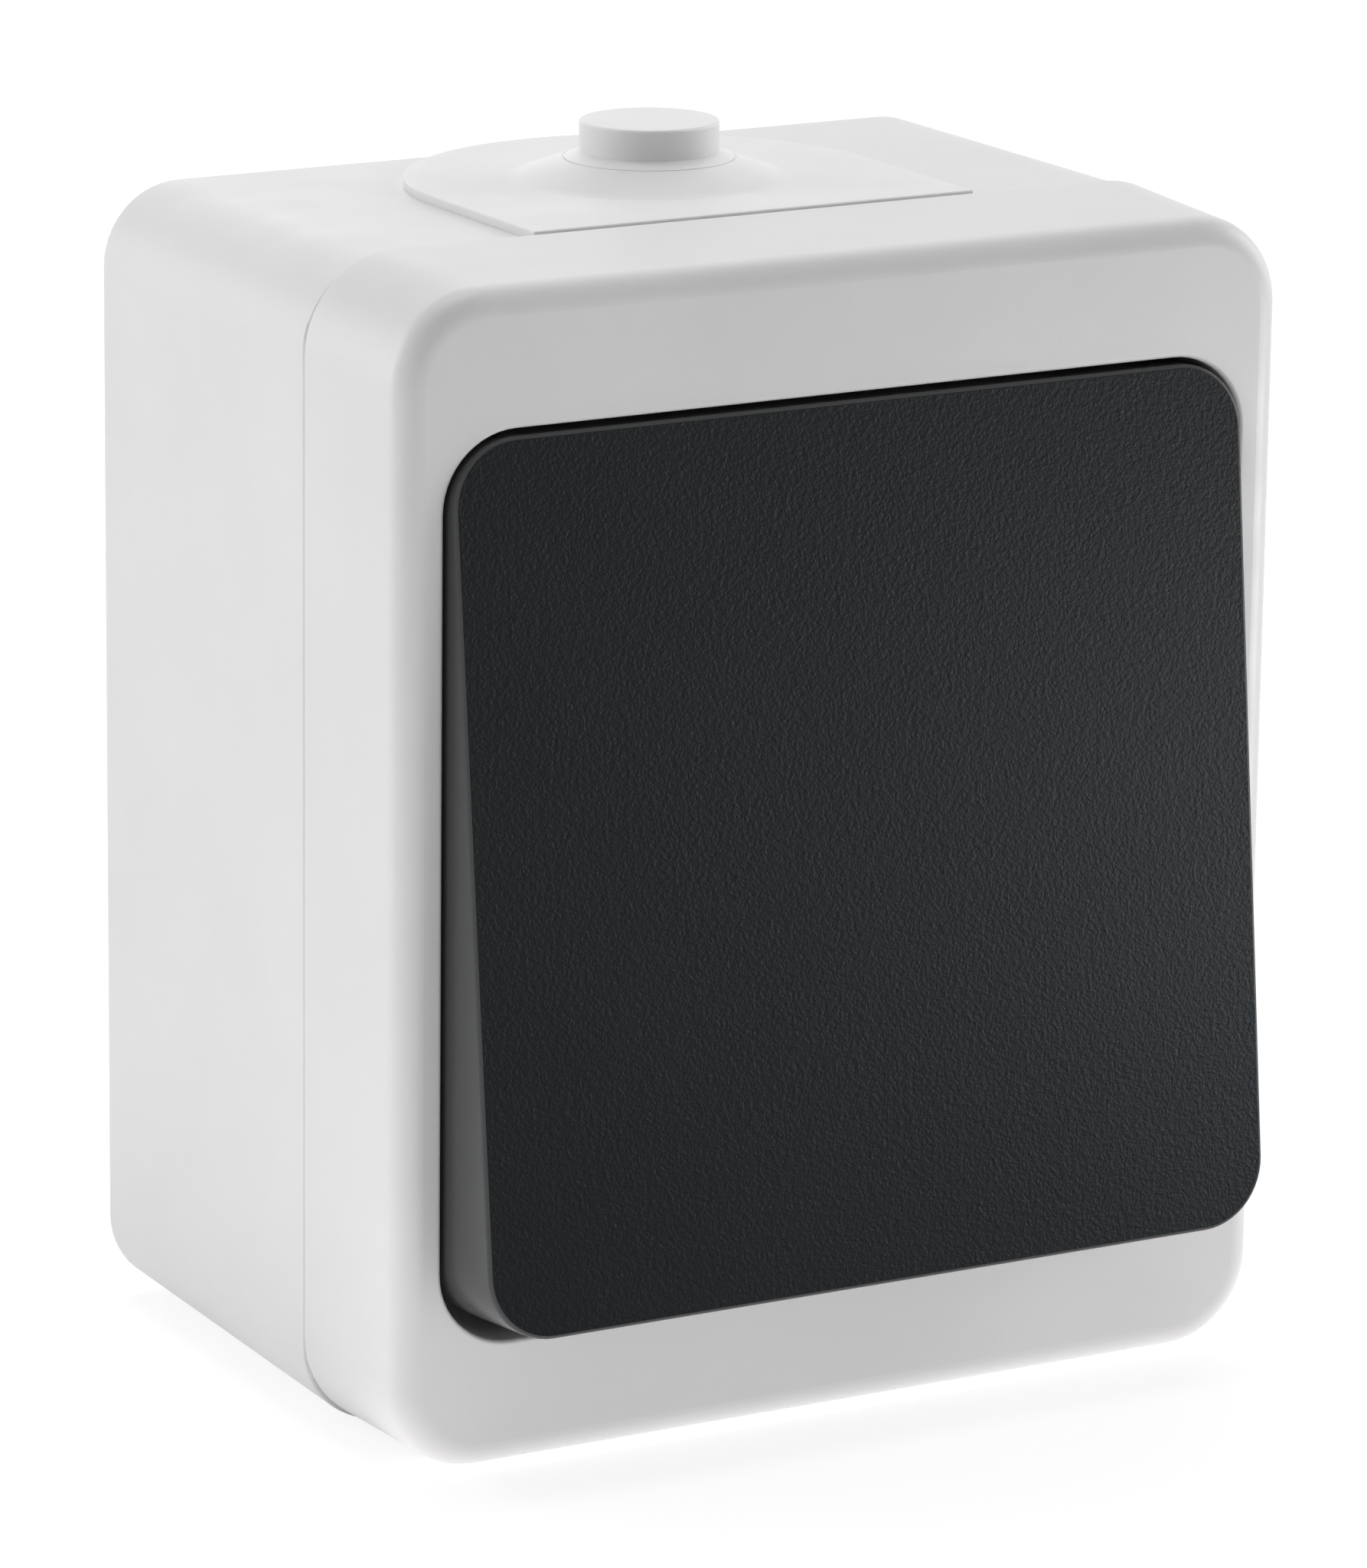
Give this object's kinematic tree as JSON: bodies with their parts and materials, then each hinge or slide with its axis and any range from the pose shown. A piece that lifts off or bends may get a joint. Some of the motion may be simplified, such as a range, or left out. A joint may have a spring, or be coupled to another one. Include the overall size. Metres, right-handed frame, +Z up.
{
  "type": "weatherproof surface-mounted light switch",
  "caption": "Splash-proof surface-mounted light switch: light grey box and frame, large dark rocker, soft cable grommet on top, changeover contact mechanism inside.",
  "frame": {"origin": "middle of the box's back face, on the wall", "axes": "+X to the right, +Y into the wall, +Z up; the rocker faces -Y"},
  "size_m": [0.0668, 0.0513, 0.0836],
  "materials": {
    "housing": "light grey, fine matt",
    "rocker": "anthracite, fine stipple",
    "grommet": "light grey, soft",
    "seal": "black",
    "mechanism_dark": "moulded, dark grey",
    "mechanism_light": "moulded, off-white",
    "brass": "bright sheet",
    "silver": "silver alloy",
    "steel": "zinc-plated"
  },
  "bodies": {
    "housing": {"rear_box": "housing", "front_cover": "housing", "cable_grommet": "grommet", "cover_gasket": "seal", "rocker_boot": "seal", "cover_screws": "steel", "insert_body": "mechanism_dark", "insert_cap": "mechanism_light", "cap_rivets": "brass", "insert_screws": "steel", "toggle_spring": "steel", "common_terminal": "brass", "upper_terminal": "brass", "lower_terminal": "brass", "fixed_contacts": "silver", "terminal_clamps": "brass", "terminal_screws": "steel"},
    "rocker_unit": {"rocker": "rocker", "inner_rocker": "mechanism_light"},
    "blade_unit": {"contact_blade": "brass", "blade_contacts": "silver"}
  },
  "joints": [
    {"name": "rocker_tilt", "type": "hinge", "parent": "housing", "child": "rocker_unit", "pos_m": [0, -0.0402, 0], "axis": [1, 0, 0], "range_deg": [0, 12.4], "deforming": ["rocker_boot", "toggle_spring"]},
    {"name": "blade_tilt", "type": "hinge", "parent": "housing", "child": "blade_unit", "pos_m": [0, -0.0206, 0], "axis": [1, 0, 0], "range_deg": [-21.1, 0.1]}
  ],
  "couplings": [
    {"joint": "blade_tilt", "follows": "rocker_tilt", "ratio": -1.6936}
  ]
}
